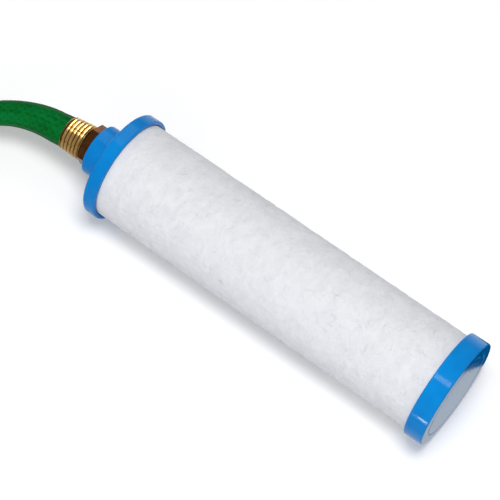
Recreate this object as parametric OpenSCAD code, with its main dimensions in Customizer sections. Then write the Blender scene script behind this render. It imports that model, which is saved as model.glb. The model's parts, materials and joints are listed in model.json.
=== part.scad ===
// Hose-end water filter: a spun polypropylene cartridge between two plastic end caps,
// screwed onto the brass male end of a short green leader hose. The hose's other end
// has a swivel nut for a garden tap. The filter lies on its side along X. The origin is
// on its axis at the closed end's flat face, and +X points out of that face. Sizes along
// the axis are laid out from the inlet flange's outer face, which from_inlet() places.

/* [Cartridge] */
// Length from the inlet flange's face to the closed cap's rim
cartridge_l = 247.5; // [180:0.5:300]
// Outside diameter of both end caps
cap_d = 69.8; // [66:0.1:80]
// Outside diameter of the spun filter media
media_d = 63.8; // [60:0.1:64]
// Outside diameter of the perforated core tube
core_d = 31; // [29:0.5:40]
// Wall of the perforated core tube
core_wall = 2; // [1:0.1:2.5]
// Rows of windows along the core tube
core_rows = 15; // [6:1:18]

/* [Inlet cap] */
// Axial height of the inlet cap's flange
inlet_cap_l = 8.8; // [7:0.1:14]
// Outside diameter of the threaded collar
collar_d = 33.2; // [31:0.1:40]
// Length of the threaded collar in front of the flange
collar_l = 16; // [14:0.1:18]

/* [Closed cap] */
// Axial height of the closed cap
closed_cap_l = 12.4; // [9:0.1:18]
// Thickness of the closed cap's disc
end_disc_t = 3.4; // [2.5:0.1:5]
// Radius of the shallow ring groove in its end face
end_groove_r = 27; // [18:0.5:30]

/* [Hose thread] */
// Axial distance between turns: 11.5 turns to the inch
thread_pitch = 2.2087; // [2.15:0.0001:2.25]
// Diameter over the male thread's crests
male_crest_d = 26.8; // [26.4:0.05:26.9]
// Diameter of the male thread's core
male_root_d = 24.2; // [24:0.05:24.4]
// Diameter of the female thread's wall
female_root_d = 27.24; // [27.1:0.02:27.4]
// Diameter inside the female thread's crests
female_crest_d = 24.7; // [24.6:0.05:25]
// Rubber hose washer thickness
washer_t = 3; // [2.5:0.1:3.5]

/* [Brass fittings] */
// Distance across the corners of the filter coupling's octagon
octagon_d = 27.5; // [27:0.1:29]
// Length of the octagon along the hose
octagon_l = 5.2; // [4:0.1:8]
// Angle that the octagon's corners stand round the thread
octagon_roll = 8; // [0:1:22]
// Length of a crimped ferrule
ferrule_l = 16.2; // [14:0.1:20]
// Ferrule diameter beside the shoulder
ferrule_d = 24; // [23.6:0.1:26]
// Ferrule diameter at the hose's mouth
ferrule_mouth_d = 21.4; // [21:0.1:23]
// Crimped ribs round a ferrule
ferrule_ribs = 5; // [4:1:7]
// Diameter of the water way through the brass tails
tail_bore_d = 10; // [8:0.1:11]
// Distance across the swivel nut's flats
nut_af = 30.5; // [30:0.1:34]
// Length of the swivel nut
nut_l = 18; // [17:0.1:19]
// Radial running clearance of the swivel nut on its neck
swivel_gap = 0.06; // [0.02:0.01:0.1]

/* [Hose] */
// Outside diameter of the hose
hose_d = 15.6; // [15:0.1:18]
// Angle at which the crimped hose leaves the filter coupling
hose_skew = 4; // [0:1:6]
// Distance by which the crimped tail stands to one side of the coupling's axis
tail_offset = 0.9; // [0:0.1:1]
// Bend radius of the leader
hose_bend_r = 72; // [60:1:110]
// Slope of the leader's bend down to the ground
hose_slope = 11.3; // [8:0.1:13]
// Length over which the leader levels out again
level_bend_l = 48; // [40:1:70]
// Clearance each side of the flex joint
flex_gap = 2; // [1.9:0.1:3]

/* [Hidden] */

cap_blue = "#0a86d2";
media_white = "#e8eaec";
core_white = "#f4f4ef";
glue_cream = "#e9dfc4";
brass_gold = "#b5904f";
rubber_black = "#26282a";
hose_green = "#0a6d33";
braid_white = "#d8ded6";
liner_green = "#3f8f58";

$fn = 96;

cap_r = cap_d / 2;
media_r = media_d / 2;
cap_disc_t = 2.8;
skirt_r = media_r + 0.1;
glue_t = 1.2;
core_r = core_d / 2;
core_bore_r = core_r - core_wall;
spigot_r = core_bore_r - 0.05;
spigot_l = 9;
end_groove_w = 0.9;
end_groove_depth = 0.35;
water_way_r = 9;
closed_disc_x = cartridge_l - end_disc_t;
media_x0 = cap_disc_t + glue_t;
media_x1 = closed_disc_x - glue_t;
fine_r = core_r + (media_r - core_r) * 0.3;
middle_r = core_r + (media_r - core_r) * 0.65;

male_crest_r = male_crest_d / 2;
male_root_r = male_root_d / 2;
female_root_r = female_root_d / 2;
female_crest_r = female_crest_d / 2;
thread_crest_half = 0.18;
thread_bury = 0.2;
thread_steps = 30;
male_turns = 3.8;
female_turns = 3.5;
seat_x = -2;
washer_r = 12.9;
washer_bore_r = 8;
washer_x = seat_x - washer_t;
male_tip_x = washer_x - 0.05;
shoulder_x = -collar_l - 0.6;
male_thread_x = shoulder_x + 1.15;
tail_x = shoulder_x - octagon_l;

clamp_r = 9.25;
clamp_cover_r = 8.25;
clamp_braid_r = 7.95;
shank_r = 6.7;
barb_r = 7;
barb_count = 4;
neck_r = 8;
tail_bore_r = tail_bore_d / 2;
ferrule_gap = ferrule_d / 2 * sin(hose_skew) + 0.1;
ferrule_wall_l = ferrule_gap + 1.6;
bulge_r = 10.1;
bulge_l = 6.8;
hose_r = hose_d / 2;
cover_t = 0.9;
braid_t = 0.3;
liner_t = 0.9;
braid_r = hose_r - cover_t;
liner_r = braid_r - braid_t;
hose_bore_r = liner_r - liner_t;

bend_x = -ferrule_l - bulge_l;
bend_angle = 90 - hose_skew;
flex_gap_angle = flex_gap / hose_bend_r * 180 / PI;
level_bend_r = level_bend_l / (hose_slope * PI / 180);
tap_clamp_l = ferrule_l + bulge_l;
layer_gap = 0.05;
lap_l = 1;
lap_angle = lap_l / hose_bend_r * 180 / PI;
level_lap_angle = lap_l / level_bend_r * 180 / PI;

tail_flange_x = 4.2;
tail_flange_l = 2;
tail_flange_r = 11.6;
nut_back_x = 0.8;
nut_wall_l = 3.3;
nut_mouth_x = nut_back_x + nut_l;
nut_octagon_l = 10;
nut_corner_r = nut_af / 2 / cos(22.5);
nut_pocket_r = 13.15;
nut_thread_x = tail_flange_x + tail_flange_l + washer_t + 0.2;

// Points of a circular arc in a profile of radius and height
function arc_pts(r0, z0, r, a0, a1, n = 6) =
    [for (i = [0:n]) [r0 + r * cos(a0 + (a1 - a0) * i / n), z0 + r * sin(a0 + (a1 - a0) * i / n)]];

// Stand a shape made along Z along X
module along_x() rotate([0, 90, 0]) children();

// Revolve a profile of [radius, x] points about the X axis
module turned(points) along_x() rotate_extrude() polygon(points);

// A plain sleeve about the X axis
module sleeve(outer_r, inner_r, x0, x1) {
    turned([[inner_r, x0], [outer_r, x0], [outer_r, x1], [inner_r, x1]]);
}

// One helical thread ridge about X, faded into its wall at both ends
module thread_ridge(root_r, crest_r, turns) {
    side = sign(crest_r - root_r);
    foot_r = root_r - side * thread_bury;
    foot_half = thread_crest_half + abs(crest_r - foot_r) * tan(30);
    n = round(turns * thread_steps);
    fade_n = thread_steps / 3;
    function crest_at(i) =
        foot_r + (crest_r - foot_r) * max(0.12, min(1, i / fade_n, (n - i) / fade_n));
    function ring(i) = [
        for (p = [[foot_r, -foot_half], [crest_at(i), -thread_crest_half],
                  [crest_at(i), thread_crest_half], [foot_r, foot_half]])
        [p[0] * cos(i * 360 / thread_steps), p[0] * sin(i * 360 / thread_steps),
         side * p[1] + thread_pitch * i / thread_steps]
    ];
    side_faces = [
        for (i = [0:n - 1], k = [0:3])
        [4 * i + k, 4 * i + (k + 1) % 4, 4 * i + 4 + (k + 1) % 4, 4 * i + 4 + k]
    ];
    end_faces = [[3, 2, 1, 0], [4 * n, 4 * n + 1, 4 * n + 2, 4 * n + 3]];
    along_x() polyhedron([for (i = [0:n]) each ring(i)], concat(side_faces, end_faces));
}

// Place what is laid out from the inlet flange's outer face
module from_inlet() translate([-cartridge_l, 0, 0]) children();

// Frame of the crimped hose at the filter coupling: the hose runs along -X
module at_filter_tail() {
    translate([tail_x, 0, 0]) rotate([hose_slope, 0, 0]) translate([0, -tail_offset, 0])
        rotate([0, 0, hose_skew]) children();
}

// Frame at an angle round the leader's main bend
module at_main_bend(angle) {
    at_filter_tail()
        translate([bend_x, -hose_bend_r, 0]) rotate([0, 0, angle]) translate([0, hose_bend_r, 0])
        children();
}

// Frame where the second bend starts, turned so that the bend rises
module at_level_bend() {
    at_main_bend(bend_angle) translate([-flex_gap, 0, 0]) rotate([-90, 0, 0]) children();
}

// Frame of the crimped hose at the tap end: the hose comes from -X and the tap is at +X
module at_tap_tail() {
    at_level_bend()
        translate([0, -level_bend_r, 0]) rotate([0, 0, hose_slope]) translate([0, level_bend_r, 0])
        rotate([90, 0, 0]) translate([-tap_clamp_l, 0, 0]) rotate([0, 0, 180])
        children();
}

// A bend in a hose layer that runs along -X and turns towards -Y, between two angles.
// It is a hair thinner than the clamped ends that it runs into.
module layer_bend(bend_r, outer_r, inner_r, from_angle, to_angle) {
    translate([0, -bend_r, 0]) rotate([0, 0, 90 + from_angle])
        rotate_extrude(angle = to_angle - from_angle) translate([bend_r, 0]) difference() {
            circle(outer_r - layer_gap, $fn = 64);
            circle(inner_r + layer_gap, $fn = 64);
        }
}

// One layer of the hose where it is clamped in a ferrule. Only the cover swells outside it.
module clamped_layer(clamp_in, clamp_out, free_in, free_out, swollen) {
    end_x = -ferrule_wall_l - 0.5;
    narrow_x = -ferrule_l + 0.4;
    wide_x = -ferrule_l - 3.4;
    outside = swollen
        ? [[bulge_r, -ferrule_l - 0.6], [clamp_out, -ferrule_l - 0.1]]
        : [[free_out, wide_x], [clamp_out, narrow_x]];
    turned(concat(
        [[free_in, bend_x], [free_out, bend_x]],
        outside,
        [[clamp_out, end_x], [clamp_in, end_x], [clamp_in, narrow_x], [free_in, wide_x]]
    ));
}

// Brass tail in the frame of its crimped hose: a barbed shank and a smooth neck up to front_x
module hose_tail(front_x) {
    barb_l = (ferrule_l - ferrule_wall_l - 0.5) / barb_count;
    barbs = [
        for (i = [barb_count - 1:-1:0])
        each [[shank_r, -ferrule_wall_l - (i + 1) * barb_l + 0.1],
              [barb_r, -ferrule_wall_l - i * barb_l - 0.6], [barb_r, -ferrule_wall_l - i * barb_l]]
    ];
    turned(concat(
        [[0, -ferrule_wall_l - barb_count * barb_l]], barbs,
        [[neck_r, -ferrule_wall_l], [neck_r, front_x], [0, front_x]]
    ));
}

// Crimped brass ferrule with ribs, in the frame of its crimped hose
module ferrule() {
    rib_x = -ferrule_gap - 1.2;
    rib_pitch = (ferrule_l + rib_x - 1.1) / ferrule_ribs;
    groove = 0.9;
    function outer_r(x) =
        (ferrule_d + (ferrule_mouth_d - ferrule_d) * -x / ferrule_l) / 2;
    ribs = [
        for (i = [0:ferrule_ribs - 1], a = [0:30:180])
        let (x = rib_x - rib_pitch * (i + 0.5 * (1 - cos(a))))
        [outer_r(x) - groove * (1 - sin(a)), x]
    ];
    color(brass_gold)
        turned(concat(
            [[neck_r + 0.05, -ferrule_gap], [outer_r(0) - 0.7, -ferrule_gap],
             [outer_r(0) - 0.4, -ferrule_gap - 0.4], [outer_r(0) - 0.5, rib_x + 0.3]],
            ribs,
            [[outer_r(-ferrule_l) - 0.5, 0.9 - ferrule_l], [outer_r(-ferrule_l), 0.5 - ferrule_l],
             [outer_r(-ferrule_l) - 0.4, -ferrule_l], [clamp_r + 0.35, -ferrule_l],
             [clamp_r + 0.05, 0.8 - ferrule_l], [clamp_r + 0.05, -ferrule_wall_l],
             [neck_r + 0.05, -ferrule_wall_l]]
        ));
}

module inlet_cap() {
    color(cap_blue) from_inlet() union() {
        turned(concat(
            [[female_root_r, seat_x], [water_way_r, seat_x], [water_way_r, cap_disc_t + spigot_l],
             [spigot_r - 0.8, cap_disc_t + spigot_l], [spigot_r, cap_disc_t + spigot_l - 1.2],
             [spigot_r, cap_disc_t], [skirt_r, cap_disc_t], [skirt_r, inlet_cap_l - 0.6]],
            [[skirt_r + 0.5, inlet_cap_l]],
            arc_pts(cap_r - 0.9, inlet_cap_l - 0.9, 0.9, 90, 0),
            arc_pts(cap_r - 1.6, 1.6, 1.6, 0, -90),
            arc_pts(collar_d / 2 + 0.9, -0.9, 0.9, 90, 180, 4),
            arc_pts(collar_d / 2 - 1.1, 1.1 - collar_l, 1.1, 0, -90),
            [[female_root_r + 0.5, -collar_l], [female_root_r, 0.8 - collar_l]]
        ));
        translate([male_thread_x + thread_pitch / 2, 0, 0])
            thread_ridge(female_root_r, female_crest_r, female_turns);
    }
}

module closed_end_cap() {
    rim_x = cartridge_l;
    open_x = cartridge_l - closed_cap_l;
    color(cap_blue) from_inlet()
        turned(concat(
            [[0, rim_x], [end_groove_r, rim_x], [end_groove_r + 0.2, rim_x - end_groove_depth],
             [end_groove_r + end_groove_w - 0.2, rim_x - end_groove_depth],
             [end_groove_r + end_groove_w, rim_x]],
            arc_pts(cap_r - 1.1, rim_x - 1.1, 1.1, 90, 0),
            arc_pts(cap_r - 0.9, open_x + 0.9, 0.9, 0, -90),
            [[skirt_r + 0.5, open_x], [skirt_r, open_x + 0.6], [skirt_r, closed_disc_x],
             [spigot_r, closed_disc_x], [spigot_r, closed_disc_x - spigot_l + 1.2],
             [spigot_r - 0.8, closed_disc_x - spigot_l], [spigot_r - 2.5, closed_disc_x - spigot_l],
             [spigot_r - 2.5, closed_disc_x], [0, closed_disc_x]]
        ));
}

module core_tube() {
    window_w = 6;
    window_l = 8;
    row_pitch = (media_x1 - media_x0 - 2 * spigot_l) / core_rows;
    color(core_white) from_inlet() difference() {
        sleeve(core_r, core_bore_r, media_x0 - glue_t, media_x1 + glue_t);
        for (i = [0:core_rows - 1], j = [0:2])
            translate([media_x0 + spigot_l + row_pitch * (i + 0.5), 0, 0])
                rotate([60 * j + 30 * (i % 2), 0, 0])
                cube([window_l, window_w, core_d + 2], center = true);
    }
}

module media_fine() color(media_white) from_inlet() sleeve(fine_r, core_r, media_x0, media_x1);

module media_middle() color(media_white) from_inlet() sleeve(middle_r, fine_r, media_x0, media_x1);

module media_outer() color(media_white) from_inlet() sleeve(media_r, middle_r, media_x0, media_x1);

module inlet_bond_ring() {
    color(glue_cream) from_inlet() sleeve(media_r, core_r, cap_disc_t, media_x0);
}

module closed_bond_ring() {
    color(glue_cream) from_inlet() sleeve(media_r, core_r, media_x1, closed_disc_x);
}

module socket_washer() {
    color(rubber_black) from_inlet() sleeve(washer_r, washer_bore_r, washer_x, seat_x);
}

module filter_coupling() {
    color(brass_gold) from_inlet() difference() {
        union() {
            turned([
                [0, shoulder_x], [male_root_r, shoulder_x], [male_root_r, male_tip_x - 0.7],
                [male_root_r - 0.7, male_tip_x], [0, male_tip_x]
            ]);
            translate([male_thread_x, 0, 0]) thread_ridge(male_root_r, male_crest_r, male_turns);
            translate([tail_x, 0, 0]) rotate([octagon_roll, 0, 0]) along_x() rotate([0, 0, 22.5])
                cylinder(h = octagon_l, d = octagon_d, $fn = 8);
            at_filter_tail() hose_tail(1);
        }
        sleeve(tail_bore_r + 1.1, 0, tail_x + 0.7, male_tip_x + 1);
        at_filter_tail() sleeve(tail_bore_r, 0, -ferrule_l - 1, 2);
    }
}

module filter_ferrule() from_inlet() at_filter_tail() ferrule();

// One layer of the hose from the filter coupling to the flex joint
module filter_side_layer(clamp_in, clamp_out, free_in, free_out, swollen) {
    from_inlet() {
        at_filter_tail() clamped_layer(clamp_in, clamp_out, free_in, free_out, swollen);
        at_main_bend(0)
            layer_bend(hose_bend_r, free_out, free_in, -lap_angle, bend_angle - flex_gap_angle);
    }
}

// One layer of the hose from the flex joint to the tap fitting
module tap_side_layer(clamp_in, clamp_out, free_in, free_out, swollen) {
    from_inlet() {
        at_level_bend()
            layer_bend(level_bend_r, free_out, free_in, 0, hose_slope + level_lap_angle);
        at_tap_tail() clamped_layer(clamp_in, clamp_out, free_in, free_out, swollen);
    }
}

module hose_liner_filter_end() {
    color(liner_green) filter_side_layer(barb_r + 0.05, clamp_braid_r, hose_bore_r, liner_r, false);
}

module hose_braid_filter_end() {
    color(braid_white) filter_side_layer(clamp_braid_r, clamp_cover_r, liner_r, braid_r, false);
}

module hose_cover_filter_end() {
    color(hose_green) filter_side_layer(clamp_cover_r, clamp_r, braid_r, hose_r, true);
}

module hose_liner_tap_end() {
    color(liner_green) tap_side_layer(barb_r + 0.05, clamp_braid_r, hose_bore_r, liner_r, false);
}

module hose_braid_tap_end() {
    color(braid_white) tap_side_layer(clamp_braid_r, clamp_cover_r, liner_r, braid_r, false);
}

module hose_cover_tap_end() {
    color(hose_green) tap_side_layer(clamp_cover_r, clamp_r, braid_r, hose_r, true);
}

module tap_ferrule() from_inlet() at_tap_tail() ferrule();

module tap_tail() {
    color(brass_gold) from_inlet() at_tap_tail() difference() {
        union() {
            hose_tail(tail_flange_x + 0.5);
            sleeve(tail_flange_r, 0, tail_flange_x, tail_flange_x + tail_flange_l);
        }
        sleeve(tail_bore_r, 0, -ferrule_l - 1, tail_flange_x + tail_flange_l + 1);
    }
}

module tap_washer() {
    seat = tail_flange_x + tail_flange_l;
    color(rubber_black) from_inlet() at_tap_tail()
        sleeve(washer_r, washer_bore_r, seat, seat + washer_t);
}

module swivel_nut() {
    inner_x = nut_back_x + nut_wall_l;
    barrel_r = nut_af / 2;
    color(brass_gold) from_inlet() at_tap_tail() difference() {
        union() {
            translate([nut_back_x, 0, 0]) along_x() rotate([0, 0, 22.5])
                cylinder(h = nut_octagon_l, r = nut_corner_r, $fn = 8);
            turned([
                [0, nut_back_x + 1], [barrel_r, nut_back_x + 1], [barrel_r, nut_mouth_x - 0.8],
                [barrel_r - 0.6, nut_mouth_x], [0, nut_mouth_x]
            ]);
        }
        sleeve(neck_r + swivel_gap, 0, nut_back_x - 1, inner_x + 1);
        sleeve(nut_pocket_r, 0, inner_x, nut_thread_x + 1);
        sleeve(female_root_r, 0, nut_thread_x, nut_mouth_x + 1);
    }
}

inlet_cap();
closed_end_cap();
core_tube();
media_fine();
media_middle();
media_outer();
inlet_bond_ring();
closed_bond_ring();
socket_washer();
filter_coupling();
filter_ferrule();
hose_liner_filter_end();
hose_braid_filter_end();
hose_cover_filter_end();
hose_liner_tap_end();
hose_braid_tap_end();
hose_cover_tap_end();
tap_ferrule();
tap_tail();
tap_washer();
swivel_nut();
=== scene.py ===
"""Looks of the hose-end water filter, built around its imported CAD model."""
import json
import math

import bpy
import numpy as np
from mathutils import Matrix, Vector, noise


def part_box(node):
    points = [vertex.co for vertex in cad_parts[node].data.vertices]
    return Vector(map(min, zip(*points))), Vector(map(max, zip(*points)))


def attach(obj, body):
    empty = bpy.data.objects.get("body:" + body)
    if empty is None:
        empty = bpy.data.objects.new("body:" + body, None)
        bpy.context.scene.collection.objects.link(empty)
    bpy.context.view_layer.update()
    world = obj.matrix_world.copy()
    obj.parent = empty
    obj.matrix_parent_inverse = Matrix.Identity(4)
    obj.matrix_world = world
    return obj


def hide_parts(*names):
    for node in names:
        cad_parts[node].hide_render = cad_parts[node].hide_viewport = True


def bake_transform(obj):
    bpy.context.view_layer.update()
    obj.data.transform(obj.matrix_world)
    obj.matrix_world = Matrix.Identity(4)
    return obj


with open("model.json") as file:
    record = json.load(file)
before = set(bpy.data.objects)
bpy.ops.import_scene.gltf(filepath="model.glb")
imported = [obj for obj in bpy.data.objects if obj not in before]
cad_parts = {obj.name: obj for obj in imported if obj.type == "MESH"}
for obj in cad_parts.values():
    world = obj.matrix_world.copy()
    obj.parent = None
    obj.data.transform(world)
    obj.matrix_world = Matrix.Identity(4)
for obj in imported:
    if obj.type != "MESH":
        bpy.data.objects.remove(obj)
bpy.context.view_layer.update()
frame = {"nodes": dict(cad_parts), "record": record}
nodes = frame["nodes"]

MM = 0.001
TAU = 2 * math.pi

# ---------------------------------------------------------------- sizes, from the frame
inlet_low, inlet_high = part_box("inlet_cap")
closed_low, closed_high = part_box("closed_end_cap")
media_low, media_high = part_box("media_outer")
media_r = media_high.z
COLLAR_L = 16 * MM
flange_x = inlet_low.x + COLLAR_L    # the inlet flange's outer face
cartridge_l = closed_high.x - flange_x
floor_z = min(closed_low.z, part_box("swivel_nut")[0].z)

TAIL_X = inlet_low.x - 5.8 * MM      # the crimped tail starts behind the octagon
TAIL_OFFSET = 0.9 * MM               # how far the tail stands aside of the coupling's axis
HOSE_SKEW = math.radians(4)
HOSE_SLOPE = math.radians(11.3)
BEND_R = 72 * MM
FERRULE_L = 16.2 * MM
HOSE_START = 3.1 * MM                # the hose's cut end inside the ferrule
CLAMP_L = 23 * MM                    # ferrule and swollen hose, before the bend starts
FLEX_GAP = 2 * MM
LEVEL_L = 48 * MM
LEVEL_R = LEVEL_L / HOSE_SLOPE
HOSE_R = 7.8 * MM
CLAMPED_R = 9.15 * MM
SWOLLEN_R = 10.1 * MM
SAG = 0.6 * MM                       # how far the soft hose hangs aside of its bend
SAG_START_L = 8 * MM                 # length over which it starts, from the filter's ferrule
SAG_END_L = 60 * MM                  # length over which it ends, towards the tap
SWELL_L = 50 * MM                    # length of hose that the barbs stretch, beyond each ferrule
COVER_T = 0.9 * MM
YARN_T = 0.3 * MM
LINER_T = 0.9 * MM
THREAD_PITCH = 2.2087 * MM           # 3/4 in hose thread, 11.5 turns to the inch


# ---------------------------------------------------------------- shader helpers
def srgb(r, g, b):
    """A colour given as 0 to 255 sRGB, as linear RGBA."""
    def linear(value):
        value /= 255
        return value / 12.92 if value <= 0.04045 else ((value + 0.055) / 1.055) ** 2.4
    return (linear(r), linear(g), linear(b), 1)


class Shader:
    """A node material with short calls for the nodes that this script uses."""

    def __init__(self, name, **inputs):
        self.material = bpy.data.materials.new(name)
        self.material.use_nodes = True
        self.tree = self.material.node_tree
        self.bsdf = self.tree.nodes["Principled BSDF"]
        for key, value in inputs.items():
            self.set(self.bsdf, key.replace("_", " "), value)

    def set(self, node, key, value):
        if isinstance(value, bpy.types.NodeSocket):
            self.tree.links.new(value, node.inputs[key])
        else:
            node.inputs[key].default_value = value

    def node(self, kind, props=None, **inputs):
        made = self.tree.nodes.new(kind)
        for key, value in (props or {}).items():
            setattr(made, key, value)
        for key, value in inputs.items():
            self.set(made, key.replace("_", " "), value)
        return made

    def coords(self, kind="Object", scale=(1, 1, 1)):
        source = self.node("ShaderNodeTexCoord").outputs[kind]
        return self.node("ShaderNodeMapping", Vector=source, Scale=scale).outputs[0]

    def noise(self, vector, scale, detail=4.0, roughness=0.55, distortion=0.0):
        return self.node("ShaderNodeTexNoise", Vector=vector, Scale=scale, Detail=detail,
                         Roughness=roughness, Distortion=distortion).outputs["Fac"]

    def ramp(self, fac, *stops):
        made = self.node("ShaderNodeValToRGB", Fac=fac)
        ramp = made.color_ramp
        while len(ramp.elements) < len(stops):
            ramp.elements.new(0.5)
        for element, (position, colour) in zip(ramp.elements, stops):
            element.position = position
            element.color = colour if hasattr(colour, "__len__") else (colour, colour, colour, 1)
        return made.outputs["Color"]

    def math(self, operation, a, b=0.0):
        made = self.node("ShaderNodeMath", {"operation": operation})
        self.set(made, 0, a)
        self.set(made, 1, b)
        return made.outputs[0]

    def mix(self, fac, a, b):
        made = self.node("ShaderNodeMix", {"data_type": "RGBA"})
        self.set(made, 0, fac)
        self.set(made, 6, a)
        self.set(made, 7, b)
        return made.outputs[2]

    def bump(self, height, distance, strength=1.0, normal=None):
        made = self.node("ShaderNodeBump", Height=height, Distance=distance, Strength=strength)
        if normal is not None:
            self.set(made, "Normal", normal)
        return made.outputs[0]

    def finish(self, **inputs):
        for key, value in inputs.items():
            self.set(self.bsdf, key.replace("_", " "), value)
        return self.material


# ---------------------------------------------------------------- materials
def cap_plastic():
    """Glossy blue polypropylene: faint swirl of pigment, painted shade darkening the corners, and orange
    peel on the round faces.
    """
    shader = Shader("cap_plastic", IOR=1.5, Specular_IOR_Level=0.16)
    place = shader.coords()
    cloud = shader.noise(place, 60, 4)
    colour = shader.ramp(cloud, (0.3, srgb(0, 118, 192)), (0.7, srgb(0, 132, 209)))
    # painted shade: the blue darkens where ambient occlusion finds corners and junctions
    shade_occlusion = shader.node("ShaderNodeAmbientOcclusion", {"samples": 8}, Distance=0.006)
    painted_corner_shade = shader.ramp(shade_occlusion.outputs["AO"], (0.5, 0.6), (0.9, 0.0))
    colour = shader.mix(painted_corner_shade, colour, srgb(0, 78, 150))
    rough = shader.ramp(shader.noise(place, 140, 5), (0.35, 0.08), (0.7, 0.14))
    facing = shader.node("ShaderNodeNewGeometry").outputs["True Normal"]
    along = shader.node("ShaderNodeSeparateXYZ", Vector=facing).outputs[0]
    round_face = shader.math("SUBTRACT", 1.0, shader.math("ABSOLUTE", along))
    peel = shader.math("MULTIPLY", round_face, 0.12)
    normal = shader.bump(shader.noise(place, 300, 2), 0.0002, peel)
    return shader.finish(Base_Color=colour, Roughness=rough, Normal=normal)


def spun_media():
    """White melt-blown polypropylene: matt, soft, with matted fibre at several scales."""
    shader = Shader("spun_media", IOR=1.45, Specular_IOR_Level=0.12, Roughness=0.95,
                    Sheen_Weight=0.1, Sheen_Roughness=0.6)
    place = shader.coords(scale=(1.25, 0.75, 0.75))
    blotch = shader.noise(place, 130, 5, 0.6, 0.6)
    colour = shader.ramp(blotch, (0.25, srgb(212, 214, 218)), (0.75, srgb(226, 227, 231)))
    fibres = shader.noise(shader.coords(scale=(1.3, 0.5, 0.5)), 700, 6, 0.7, 1.6)
    clumps = shader.noise(place, 260, 4, 0.6, 0.8)
    normal = shader.bump(fibres, 0.0005, 0.45)
    normal = shader.bump(clumps, 0.0009, 0.4, normal)
    return shader.finish(Base_Color=colour, Normal=normal)


def brass(name, dark, light, painted_shade_colour):
    """Brass with brown painted shade in the crimp's grooves and the corners, where ambient occlusion
    finds them enclosed.
    """
    shader = Shader(name, Metallic=0.95)
    place = shader.coords()
    colour = shader.ramp(shader.noise(place, 160, 4, 0.6), (0.3, dark), (0.7, light))
    # painted shade: dark brown mixed in where ambient occlusion finds grooves and corners
    shade_occlusion = shader.node("ShaderNodeAmbientOcclusion", {"samples": 8}, Distance=0.0025)
    painted_groove_shade = shader.ramp(shade_occlusion.outputs["AO"], (0.45, 1.0), (0.95, 0.0))
    colour = shader.mix(painted_groove_shade, colour, painted_shade_colour)
    rough = shader.ramp(shader.noise(place, 300, 3), (0.3, 0.17), (0.75, 0.24))
    normal = shader.bump(shader.noise(place, 700, 2), 0.00001, 0.03)
    return shader.finish(Base_Color=colour, Roughness=rough, Normal=normal)


def crossed_yarn(shader, lines_round=12.0, lines_along=190.0):
    """The two families of yarn over the hose's UV map, as two waves from 0 to 1."""
    split = shader.node("ShaderNodeSeparateXYZ", Vector=shader.coords("UV"))
    waves = []
    for sign in (1, -1):
        phase = shader.math("ADD", shader.math("MULTIPLY", split.outputs[0], lines_round),
                            shader.math("MULTIPLY", split.outputs[1], sign * lines_along))
        wave = shader.math("SINE", shader.math("MULTIPLY", phase, TAU))
        waves.append(shader.math("MAXIMUM", wave, 0.0))
    return waves


def hose_vinyl():
    """Green vinyl cover: fine drawn lines along it, the crossed yarn just showing through, and darker
    towards its outline, partly the deeper green of vinyl seen edge-on and partly painted shade.
    """
    shader = Shader("hose_vinyl", IOR=1.5, Specular_IOR_Level=0.05)
    crossed = shader.math("MAXIMUM", *crossed_yarn(shader))
    drawn = shader.noise(shader.coords("UV", scale=(9, 9, 1)), 3, 5)
    blotch = shader.noise(shader.coords(), 260, 5, 0.6)
    base = shader.ramp(blotch, (0.3, srgb(0, 76, 22)), (0.7, srgb(0, 98, 30)))
    base = shader.mix(shader.ramp(drawn, (0.42, 0.0), (0.72, 0.6)), base, srgb(0, 124, 60))
    base = shader.mix(shader.math("MULTIPLY", crossed, 0.14), base, srgb(24, 138, 74))
    facing = shader.node("ShaderNodeLayerWeight", Blend=0.5).outputs["Facing"]
    # darker towards the outline: partly the vinyl's deeper green seen edge-on, partly painted shade
    colour = shader.mix(shader.ramp(facing, (0.55, 0.0), (0.95, 0.75)), base, srgb(0, 40, 16))
    normal = shader.bump(crossed, 0.0001, 0.5)
    normal = shader.bump(drawn, 0.0001, 0.3, normal)
    rough = shader.ramp(blotch, (0.3, 0.38), (0.7, 0.5))
    return shader.finish(Base_Color=colour, Roughness=rough, Normal=normal)


def washer_rubber():
    """Matt black moulded rubber with fine specks."""
    shader = Shader("washer_rubber", Specular_IOR_Level=0.35)
    place = shader.coords()
    speck = shader.noise(place, 600, 4)
    colour = shader.ramp(speck, (0.3, srgb(26, 27, 29)), (0.7, srgb(44, 45, 48)))
    return shader.finish(Base_Color=colour, Roughness=0.75, Normal=shader.bump(speck, 0.00008, 0.4))


def plain_plastic(name, dark, light, rough):
    """A moulded or melted plastic with slight cloudiness."""
    shader = Shader(name)
    place = shader.coords()
    colour = shader.ramp(shader.noise(place, 180, 4), (0.3, dark), (0.7, light))
    return shader.finish(Base_Color=colour, Roughness=rough,
                         Normal=shader.bump(shader.noise(place, 500, 3), 0.00008, 0.3))


def hose_yarn():
    """Crossed polyester yarn between the hose's two vinyl layers."""
    shader = Shader("hose_yarn", Roughness=0.8)
    crossed = shader.math("MAXIMUM", *crossed_yarn(shader))
    colour = shader.ramp(crossed, (0.2, srgb(120, 170, 135)), (0.8, srgb(216, 222, 214)))
    return shader.finish(Base_Color=colour, Normal=shader.bump(crossed, 0.0002, 0.6))


MATERIALS = {
    "cap_plastic": cap_plastic(),
    "core_plastic": plain_plastic("core_plastic", srgb(232, 232, 224), srgb(246, 246, 240), 0.45),
    "spun_media": spun_media(),
    "hot_melt": plain_plastic("hot_melt", srgb(214, 200, 160), srgb(238, 228, 200), 0.35),
    "washer_rubber": washer_rubber(),
    # the last colour is the brown of the painted shade in grooves and corners
    "brass": brass("brass", srgb(196, 150, 84), srgb(228, 186, 116), srgb(92, 56, 18)),
    "hose_liner": plain_plastic("hose_liner", srgb(50, 130, 80), srgb(70, 150, 95), 0.4),
    "hose_yarn": hose_yarn(),
    "hose_vinyl": hose_vinyl(),
}
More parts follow.
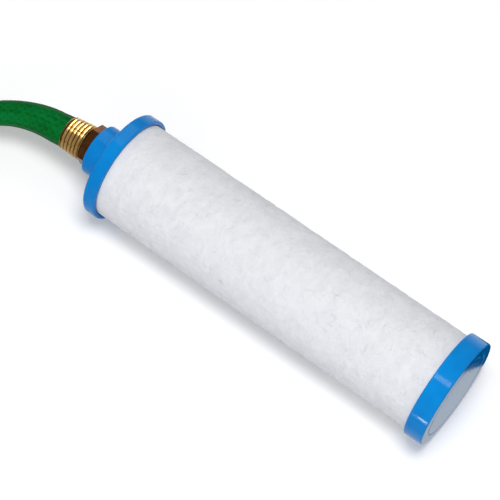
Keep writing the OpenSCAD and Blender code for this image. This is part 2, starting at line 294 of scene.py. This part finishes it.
# CAD nodes whose finish differs from the usual one of their slot: the coupling gets a darker copy of the
# brass, a painted dark reflection on its octagon's facets
PAINTED_DARK_BRASS = {
    "filter_coupling": brass("painted_dark_brass", srgb(84, 50, 24), srgb(118, 74, 38), srgb(44, 22, 8)),
}


# ---------------------------------------------------------------- mesh helpers
def make_piece(name, verts, faces, slot, uvs=None, smooth=True):
    """A mesh object with one record slot's material. uvs holds one pair per vertex."""
    mesh = bpy.data.meshes.new(name)
    mesh.from_pydata([tuple(v) for v in verts], [], [tuple(f) for f in faces])
    mesh.validate()
    if uvs is not None:
        layer = mesh.uv_layers.new(name="UVMap")
        for loop in mesh.loops:
            layer.data[loop.index].uv = uvs[loop.vertex_index]
    if smooth:
        mesh.shade_smooth()
    piece = bpy.data.objects.new(name, mesh)
    bpy.context.scene.collection.objects.link(piece)
    mesh.materials.append(MATERIALS[slot])
    return piece


def grid_faces(rows, columns, close_rows=False, flip=False):
    """Quads of a grid whose columns close on themselves."""
    faces = []
    for i in range(rows if close_rows else rows - 1):
        for j in range(columns):
            a = i * columns + j
            b = i * columns + (j + 1) % columns
            c = ((i + 1) % rows) * columns + (j + 1) % columns
            d = ((i + 1) % rows) * columns + j
            faces.append((a, d, c, b) if flip else (a, b, c, d))
    return faces


# ---------------------------------------------------------------- hose
def turn(angle, axis):
    return Matrix.Rotation(angle, 4, axis)


def move(x, y=0.0, z=0.0):
    return Matrix.Translation((x, y, z))


tail_frame = move(TAIL_X) @ turn(HOSE_SLOPE, "X") @ move(0, -TAIL_OFFSET) @ turn(HOSE_SKEW, "Z")
main_bend = math.radians(90) - HOSE_SKEW


def round_bend(start, radius, angle):
    return start @ move(0, -radius) @ turn(angle, "Z") @ move(0, radius)


def hose_frames(step=1.5 * MM):
    """Frames along the hose from ferrule to ferrule, each heading along its own -X, with lengths."""
    out, length = [], 0.0

    def run(distance, at):
        nonlocal length
        count = max(2, round(distance / step))
        for i in range(count):
            out.append((length + distance * i / count, at(i / count)))
        length += distance

    inside = FERRULE_L - HOSE_START
    run(inside, lambda t: tail_frame @ move(-HOSE_START - inside * t))
    run(CLAMP_L - FERRULE_L, lambda t: tail_frame @ move(-FERRULE_L - (CLAMP_L - FERRULE_L) * t))
    start = tail_frame @ move(-CLAMP_L)
    run(BEND_R * main_bend, lambda t: round_bend(start, BEND_R, main_bend * t))
    flex = round_bend(start, BEND_R, main_bend)
    run(FLEX_GAP, lambda t: flex @ move(-FLEX_GAP * t))
    # the second bend lies in another plane, and its rings are turned back to follow the first bend's
    untwist = turn(math.pi / 2, "X")
    rise = flex @ move(-FLEX_GAP) @ untwist.inverted()
    run(LEVEL_L, lambda t: round_bend(rise, LEVEL_R, HOSE_SLOPE * t) @ untwist)
    level = round_bend(rise, LEVEL_R, HOSE_SLOPE) @ untwist
    last = CLAMP_L - HOSE_START
    run(last, lambda t: level @ move(-last * t))
    out.append((length, level @ move(-last)))
    return out, length


def hose_layer(name, slot, drop, thickness, segments=72):
    """One layer of the hose: drop is how far its outside lies under the cover's surface."""
    frames, total = hose_frames()
    inside = FERRULE_L - HOSE_START
    rings = []
    for length, place in frames:
        from_mouth = min(length, total - length) - inside
        swell = max(0.0, 1 - max(0.0, from_mouth) / SWELL_L)
        outer = HOSE_R + (SWOLLEN_R - HOSE_R) * swell * swell * (3 - 2 * swell)
        if from_mouth < 0:
            outer = CLAMPED_R
        hang = SAG * min(1.0, max(0.0, length - inside) / SAG_START_L, (total - length) / SAG_END_L)
        rings.append((place @ move(0, -hang), length, outer - drop))
    loop = rings + [(place, length, outer - thickness) for place, length, outer in reversed(rings)]
    verts, uvs = [], []
    for place, length, radius in loop:
        for j in range(segments):
            angle = TAU * j / segments
            verts.append(place @ Vector((0, radius * math.cos(angle), radius * math.sin(angle))))
            uvs.append((j / segments, length))
    return make_piece(name, verts, grid_faces(len(loop), segments, True), slot, uvs)


def build_hose():
    layers = [
        ("hose_cover", "hose_cover", "hose_vinyl", 0.0, COVER_T),
        ("hose_yarn", "hose_braid", "hose_yarn", COVER_T, YARN_T),
        ("hose_liner", "hose_liner", "hose_liner", COVER_T + YARN_T, LINER_T),
    ]
    for name, cad_name, slot, drop, thickness in layers:
        piece = hose_layer(name, slot, drop, thickness)
        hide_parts(cad_name + "_filter_end", cad_name + "_tap_end")
        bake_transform(piece)


# ---------------------------------------------------------------- media
FIBRE_STRIDE = 0.4 * MM
LUMP_SIZE = 8 * MM
LUMP_RISE = 0.17 * MM
GRAIN_SIZE = 1.9 * MM
GRAIN_RISE = 0.1 * MM
FIBRE_RISE = 0.3 * MM
SKIN_DROP = 0.1 * MM                 # the skin's mean level, below the CAD sleeve's radius
PLAIN_END_L = 4.8 * MM               # the ends are plain, as the caps' skirts hold them
FADE_L = 8 * MM


def wandering_strands(rng, count, steps, length, around, round_share=0.72, spread=0.55, wander=0.1):
    """Paths of fibres laid mostly round the cartridge: distance along it, and round it."""
    mostly_round = rng.random(count) < round_share
    heading = rng.normal(0, spread, count) + np.where(mostly_round, math.pi / 2, 0.35)
    heading = heading[:, None] + np.cumsum(rng.normal(0, wander, (count, steps)), axis=1)
    x = rng.uniform(0, length, (count, 1)) + np.cumsum(np.cos(heading), axis=1) * FIBRE_STRIDE
    a = rng.uniform(0, around, (count, 1)) + np.cumsum(np.sin(heading), axis=1) * FIBRE_STRIDE
    return x, a


def fibre_relief(rows, columns, length, count=5200, steps=34, seed=11):
    """Heights from 0 to 1 on the unrolled surface, of matted strands laid over each other."""
    rng = np.random.default_rng(seed)
    around = TAU * media_r
    x, a = wandering_strands(rng, count, steps, length, around)
    half_width = rng.uniform(0.16, 0.36, (count, 1)) * MM
    rise = rng.uniform(0.3, 1.0, (count, 1)) * np.sin(np.linspace(0, math.pi, steps)) ** 0.5
    cell_x, cell_a = length / (rows - 1), around / columns
    row, column = np.rint(x / cell_x).astype(int), np.rint(a / cell_a).astype(int)
    height = np.zeros((rows, columns))
    for i in range(-2, 3):
        for j in range(-2, 3):
            dx, da = (row + i) * cell_x - x, (column + j) * cell_a - a
            bell = rise * np.exp(-(dx ** 2 + da ** 2) / (2 * half_width ** 2))
            inside = (row + i >= 0) & (row + i < rows)
            np.maximum.at(height, ((row + i)[inside], ((column + j) % columns)[inside]), bell[inside])
    return height


def build_media():
    """The outer sleeve: a lumpy, fibrous skin over a plain inner wall."""
    columns, rows = 440, 540
    x0, x1 = media_low.x, media_high.x
    inner_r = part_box("media_middle")[1].z
    relief = fibre_relief(rows, columns, x1 - x0)
    verts = []
    for i in range(rows):
        x = x0 + (x1 - x0) * i / (rows - 1)
        amount = min(1.0, max(0.0, min(x - x0, x1 - x) - PLAIN_END_L) / FADE_L)
        for j in range(columns):
            angle = TAU * j / columns
            cy, cz = math.cos(angle), math.sin(angle)
            at = Vector((x, cy * media_r, cz * media_r))
            lump = LUMP_RISE * noise.fractal(at / LUMP_SIZE, 1.0, 2.0, 3)
            grain = GRAIN_RISE * noise.noise(at / GRAIN_SIZE)
            fibre = FIBRE_RISE * (relief[i, j] - 0.5)
            radius = media_r + (lump + grain + fibre) * amount - SKIN_DROP
            verts.append((x, cy * radius, cz * radius))
    for x in (x1, x0):
        for j in range(columns):
            angle = TAU * j / columns
            verts.append((x, math.cos(angle) * inner_r, math.sin(angle) * inner_r))
    piece = make_piece("media_skin", verts, grid_faces(rows + 2, columns, True, flip=True), "spun_media")
    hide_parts("media_outer")
    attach(piece, "filter")


def build_loose_fibres(count=1300, steps=12, seed=23):
    """Fine fibres that stand off the media: thin closed threads with both ends in the skin."""
    rng = np.random.default_rng(seed)
    gap = 1.5 * MM
    x0 = inlet_high.x + gap
    length = closed_low.x - gap - x0
    x, a = wandering_strands(rng, count, steps, length, TAU * media_r)
    x = np.clip(x, 0, length)
    lift = rng.uniform(0.15, 0.6, count) ** 1.5
    sides, root_depth = 3, 0.12
    verts, faces = [], []
    for n in range(count):
        thread_r = rng.uniform(0.035, 0.06) * MM
        spin = rng.uniform(0, TAU)
        start = len(verts)
        for k in range(steps):
            radius = media_r + (lift[n] * math.sin(math.pi * k / (steps - 1)) - root_depth) * MM
            angle = a[n, k] / media_r
            out = Vector((0, math.cos(angle), math.sin(angle)))
            centre = Vector((x0 + x[n, k], 0, 0)) + out * radius
            ahead = Vector((x[n, min(k + 1, steps - 1)] - x[n, max(k - 1, 0)],
                            a[n, min(k + 1, steps - 1)] - a[n, max(k - 1, 0)], 0)).normalized()
            round_way = Vector((0, -math.sin(angle), math.cos(angle)))
            side = Vector((1, 0, 0)) * ahead.y - round_way * ahead.x
            for m in range(sides):
                turned = spin + TAU * m / sides
                verts.append(centre + (side * math.cos(turned) + out * math.sin(turned)) * thread_r)
        for k in range(steps - 1):
            for m in range(sides):
                p, q = start + k * sides + m, start + k * sides + (m + 1) % sides
                faces.append((p, q, q + sides, p + sides))
        faces.append(tuple(start + m for m in reversed(range(sides))))
        faces.append(tuple(start + (steps - 1) * sides + m for m in range(sides)))
    piece = make_piece("media_loose_fibres", verts, faces, "spun_media")
    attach(piece, "filter")


# ---------------------------------------------------------------- swivel nut's thread
def build_nut_thread(turns=2.6, steps=48):
    """The ridge of the female thread in the swivel nut, whose CAD bore is the thread's root."""
    depth, bury, mouth_gap = 1.2 * MM, 0.15 * MM, 1.2 * MM
    root_half, crest_half = 0.95 * MM, 0.2 * MM
    mount = next(m for m in frame["record"]["mounts"] if m["name"] == "tap_thread")
    root_r, length = mount["dims"]["r_mm"] * MM, mount["dims"]["length_mm"] * MM
    axis = Vector(mount["axis"])
    across, up = Vector((1, 0, 0)), Vector((0, 0, 1))
    buried_r = root_r + bury
    verts, faces = [], []
    count = round(turns * steps)
    run_out = steps / 3
    first = Vector(mount["pos_m"]) + axis * (length / 2 - mouth_gap)
    for k in range(count + 1):
        angle = TAU * k / steps
        inner_r = root_r - depth * min(1.0, k / run_out, (count - k) / run_out)
        out = across * math.cos(angle) + up * math.sin(angle)
        centre = first - axis * (THREAD_PITCH * k / steps)
        profile = ((buried_r, root_half), (inner_r, crest_half), (inner_r, -crest_half),
                   (buried_r, -root_half))
        for radius, along in profile:
            verts.append(centre + out * radius + axis * along)
    for k in range(count):
        for m in range(4):
            p, q = 4 * k + m, 4 * k + (m + 1) % 4
            faces.append((p, p + 4, q + 4, q))
    faces.append((0, 1, 2, 3))
    faces.append((4 * count + 3, 4 * count + 2, 4 * count + 1, 4 * count))
    piece = make_piece("nut_thread", verts, faces, "brass", smooth=False)
    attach(piece, "nut")


# ---------------------------------------------------------------- stage
def studio_world():
    """Soft white surroundings, seen much darker in reflections, as a real room would be."""
    world = bpy.data.worlds.new("studio")
    bpy.context.scene.world = world
    world.use_nodes = True
    tree = world.node_tree
    fill = tree.nodes["Background"]
    fill.inputs["Strength"].default_value = 0.46
    room = tree.nodes.new("ShaderNodeBackground")
    for background in (fill, room):
        background.inputs["Color"].default_value = (1, 1, 1, 1)
    room.inputs["Strength"].default_value = 0.38
    ray = tree.nodes.new("ShaderNodeLightPath")
    mix = tree.nodes.new("ShaderNodeMixShader")
    tree.links.new(ray.outputs["Is Glossy Ray"], mix.inputs[0])
    tree.links.new(fill.outputs[0], mix.inputs[1])
    tree.links.new(room.outputs[0], mix.inputs[2])
    tree.links.new(mix.outputs[0], tree.nodes["World Output"].inputs["Surface"])


def area_light(name, place, target, size, power, highlight=False, only_on=()):
    """A panel that lights the object, or only shows as a highlight, on some nodes or on all."""
    light = bpy.data.lights.new(name, "AREA")
    light.shape = "RECTANGLE"
    light.size, light.size_y = size
    light.energy = power
    lamp = bpy.data.objects.new(name, light)
    lamp.location = place
    lamp.rotation_euler = (Vector(target) - Vector(place)).to_track_quat("-Z", "Y").to_euler()
    lamp.visible_camera = False
    lamp.visible_diffuse = not highlight
    lamp.visible_glossy = highlight
    if only_on:
        receivers = bpy.data.collections.new(name + "_receivers")
        for node_name in only_on:
            receivers.objects.link(nodes[node_name])
        lamp.light_linking.receiver_collection = receivers
    bpy.context.scene.collection.objects.link(lamp)


def build_floor():
    """White paper. It looks whiter to the camera than it lights the object, and greyer where the
    object mirrors its near side."""
    bpy.ops.mesh.primitive_plane_add(size=6.0, location=(flange_x, 0, floor_z))
    floor = bpy.context.object
    floor.name = "floor"
    shader = Shader("floor", Roughness=0.6, Specular_IOR_Level=0.2)
    paper = shader.noise(shader.coords(), 3, 2)
    shade = shader.ramp(paper, (0.3, srgb(251, 251, 252)), (0.7, srgb(253, 253, 253)))
    ray = shader.node("ShaderNodeLightPath").outputs
    shade = shader.mix(ray["Is Diffuse Ray"], shade, srgb(224, 225, 230))
    across = shader.node("ShaderNodeSeparateXYZ", Vector=shader.coords()).outputs[1]
    mirrored = shader.ramp(shader.math("MULTIPLY_ADD", across, 10.0), (0.0, srgb(186, 186, 186)),
                           (0.6, srgb(255, 255, 255)))
    shade = shader.mix(ray["Is Glossy Ray"], shade, mirrored)
    glow = shader.math("MULTIPLY", ray["Is Camera Ray"], 0.08)
    floor.data.materials.append(shader.finish(Base_Color=shade, Emission_Color=(1, 1, 1, 1),
                                              Emission_Strength=glow))


def reflector_card(name, size, heading, from_edge, tint, glow):
    """A card on the floor by the closed cap, seen only in the cap's end face as it mirrors it."""
    out = Vector((math.cos(heading), math.sin(heading), 0))
    centre = Vector((closed_high.x, 0, floor_z + 0.2 * MM)) + out * from_edge
    bpy.ops.mesh.primitive_plane_add(size=size, location=centre, rotation=(0, 0, heading))
    card = bpy.context.object
    card.name = name
    shader = Shader(name, Base_Color=(0, 0, 0, 1), Roughness=1.0, Specular_IOR_Level=0.0,
                    Emission_Color=tint, Emission_Strength=glow)
    card.data.materials.append(shader.material)
    card.visible_camera = card.visible_diffuse = card.visible_shadow = False


def build_cards():
    """A cream card under the cap and a black one beyond it, meeting along one slanting edge."""
    heading = math.radians(31.1)
    edge = 22.4 * MM
    cream, black = 100 * MM, 160 * MM
    reflector_card("cream_card", cream, heading, edge - cream / 2, srgb(255, 250, 228), 0.84)
    reflector_card("black_card", black, heading, edge + black / 2, srgb(0, 0, 0), 0.0)


def build_arch(target, reach=0.8, lean=math.radians(20)):
    """Three windows in an arch, for the ferrules' long highlights. The lowest one also lights the
    coupling's octagon."""
    ferrules = ("filter_ferrule", "tap_ferrule")
    for number, rise in enumerate((20, 54, 88)):
        rise = math.radians(rise)
        way = Vector((-math.sin(lean), math.cos(lean) * math.cos(rise), math.cos(lean) * math.sin(rise)))
        lit = ferrules + ("filter_coupling",) if number == 0 else ferrules
        area_light(f"arch_window_{number}", target + way * reach, target, (0.2, 0.49), 2.5, True, lit)


def build_stage():
    build_floor()
    build_cards()
    studio_world()
    inlet = Vector((flange_x, 0, 0))
    closed = Vector((closed_high.x, 0, 0))
    middle = (inlet + closed) / 2
    area_light("key", inlet + Vector((0.26, -0.09, 1.12)), middle, (0.4, 0.4), 7.8)
    area_light("fill", inlet + Vector((0.1, -1.35, 0.33)), middle, (1.0, 1.0), 5.4)
    area_light("soft_window", inlet + Vector((-0.31, 0.46, 0.59)), inlet, (0.35, 0.8), 1.1, True,
               ("inlet_cap", "closed_end_cap", "swivel_nut", "tap_tail"))
    build_arch(inlet)
    area_light("top_window", closed + Vector((-0.165, -0.282, 1.26)), closed, (0.2, 0.2), 0.8, True)
    area_light("low_glint", closed + Vector((-0.021, -0.167, -0.009)), closed, (0.012, 0.012),
               0.01, True)


def build_camera():
    """The photograph's viewpoint, as solved from the object's outlines."""
    azimuth, elevation, distance = math.radians(37.3), math.radians(64.57), 1.0933
    target = Vector((flange_x + 0.398 * cartridge_l, 1.5 * MM, 0.6 * MM))
    away = Vector((math.sin(azimuth) * math.cos(elevation), -math.cos(azimuth) * math.cos(elevation),
                   math.sin(elevation)))
    data = bpy.data.cameras.new("camera")
    data.sensor_width = 36
    data.lens = 133.17
    camera = bpy.data.objects.new("camera", data)
    camera.location = target + away * distance
    camera.rotation_euler = (-away).to_track_quat("-Z", "Y").to_euler()
    bpy.context.scene.collection.objects.link(camera)
    bpy.context.scene.camera = camera


# ---------------------------------------------------------------- build
def dress_cad_nodes():
    for entry in frame["record"]["subparts"]:
        node = nodes[entry["node"]]
        node.data.materials.clear()
        # the coupling takes the darker brass copy, its painted dark reflection
        node.data.materials.append(PAINTED_DARK_BRASS.get(entry["node"], MATERIALS[entry["material_slot"]]))


dress_cad_nodes()
build_media()
build_loose_fibres()
build_hose()
build_nut_thread()
build_stage()
build_camera()
bpy.context.scene.view_settings.view_transform = "Standard"
